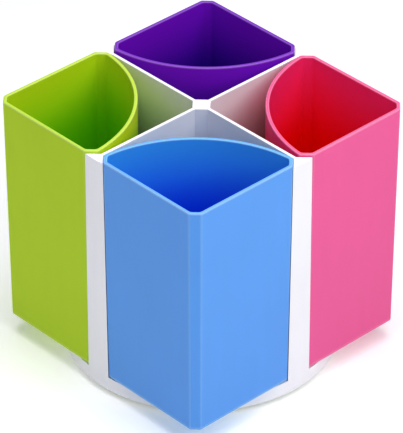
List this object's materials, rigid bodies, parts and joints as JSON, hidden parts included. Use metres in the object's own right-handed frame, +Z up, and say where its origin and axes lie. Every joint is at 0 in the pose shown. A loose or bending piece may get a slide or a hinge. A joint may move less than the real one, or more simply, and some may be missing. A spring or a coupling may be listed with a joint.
{
  "type": "rotating desk organizer",
  "caption": "Square desk organizer with coloured lift-out corner cups round a white cross-shaped divider on a round ball-bearing turntable.",
  "frame": {"origin": "on the desk, straight under the centre post", "axes": "+Z up along the turning axis; the cross's arms lie along X and Y, so the cups stand in the four quadrants: green at -X -Y, blue at +X -Y, pink at +X +Y, purple at -X +Y"},
  "size_m": [0.15, 0.15, 0.148],
  "materials": {
    "blue_plastic": "satin moulded",
    "green_plastic": "satin moulded",
    "pink_plastic": "satin moulded",
    "purple_plastic": "satin moulded",
    "white_plastic": "satin moulded",
    "plate_plastic": "fine matt",
    "cage_plastic": "natural",
    "steel": "zinc plated",
    "ball_steel": "polished",
    "pad_rubber": "matt"
  },
  "bodies": {
    "base": {"foot_plate": "plate_plastic", "foot_pad_1": "pad_rubber", "foot_pad_2": "pad_rubber", "foot_pad_3": "pad_rubber", "foot_pad_4": "pad_rubber"},
    "bearing": {"ball_cage": "cage_plastic", "bearing_balls": "ball_steel"},
    "carousel": {"divider_frame": "white_plastic", "bearing_plate": "plate_plastic", "pivot_screw": "steel", "pivot_washer": "steel", "pivot_sleeve": "cage_plastic", "plate_screw_1": "steel", "plate_screw_2": "steel", "plate_screw_3": "steel", "plate_screw_4": "steel"},
    "pink_cup": {"cup_pink": "pink_plastic"},
    "purple_cup": {"cup_purple": "purple_plastic"},
    "green_cup": {"cup_green": "green_plastic"},
    "blue_cup": {"cup_blue": "blue_plastic"}
  },
  "joints": [
    {"name": "carousel_spin", "type": "hinge", "parent": "base", "child": "carousel", "pos_m": [0, 0, 0.0044], "axis": [0, 0, 1], "continuous": true},
    {"name": "bearing_roll", "type": "hinge", "parent": "base", "child": "bearing", "pos_m": [0, 0, 0.0048], "axis": [0, 0, 1], "continuous": true},
    {"name": "pink_lift", "type": "slide", "parent": "carousel", "child": "pink_cup", "axis": [0, 0, 1], "range_m": [0, 0.15]},
    {"name": "purple_lift", "type": "slide", "parent": "carousel", "child": "purple_cup", "axis": [0, 0, 1], "range_m": [0, 0.15]},
    {"name": "green_lift", "type": "slide", "parent": "carousel", "child": "green_cup", "axis": [0, 0, 1], "range_m": [0, 0.15]},
    {"name": "blue_lift", "type": "slide", "parent": "carousel", "child": "blue_cup", "axis": [0, 0, 1], "range_m": [0, 0.15]}
  ],
  "couplings": [
    {"joint": "bearing_roll", "follows": "carousel_spin", "ratio": 0.5}
  ]
}
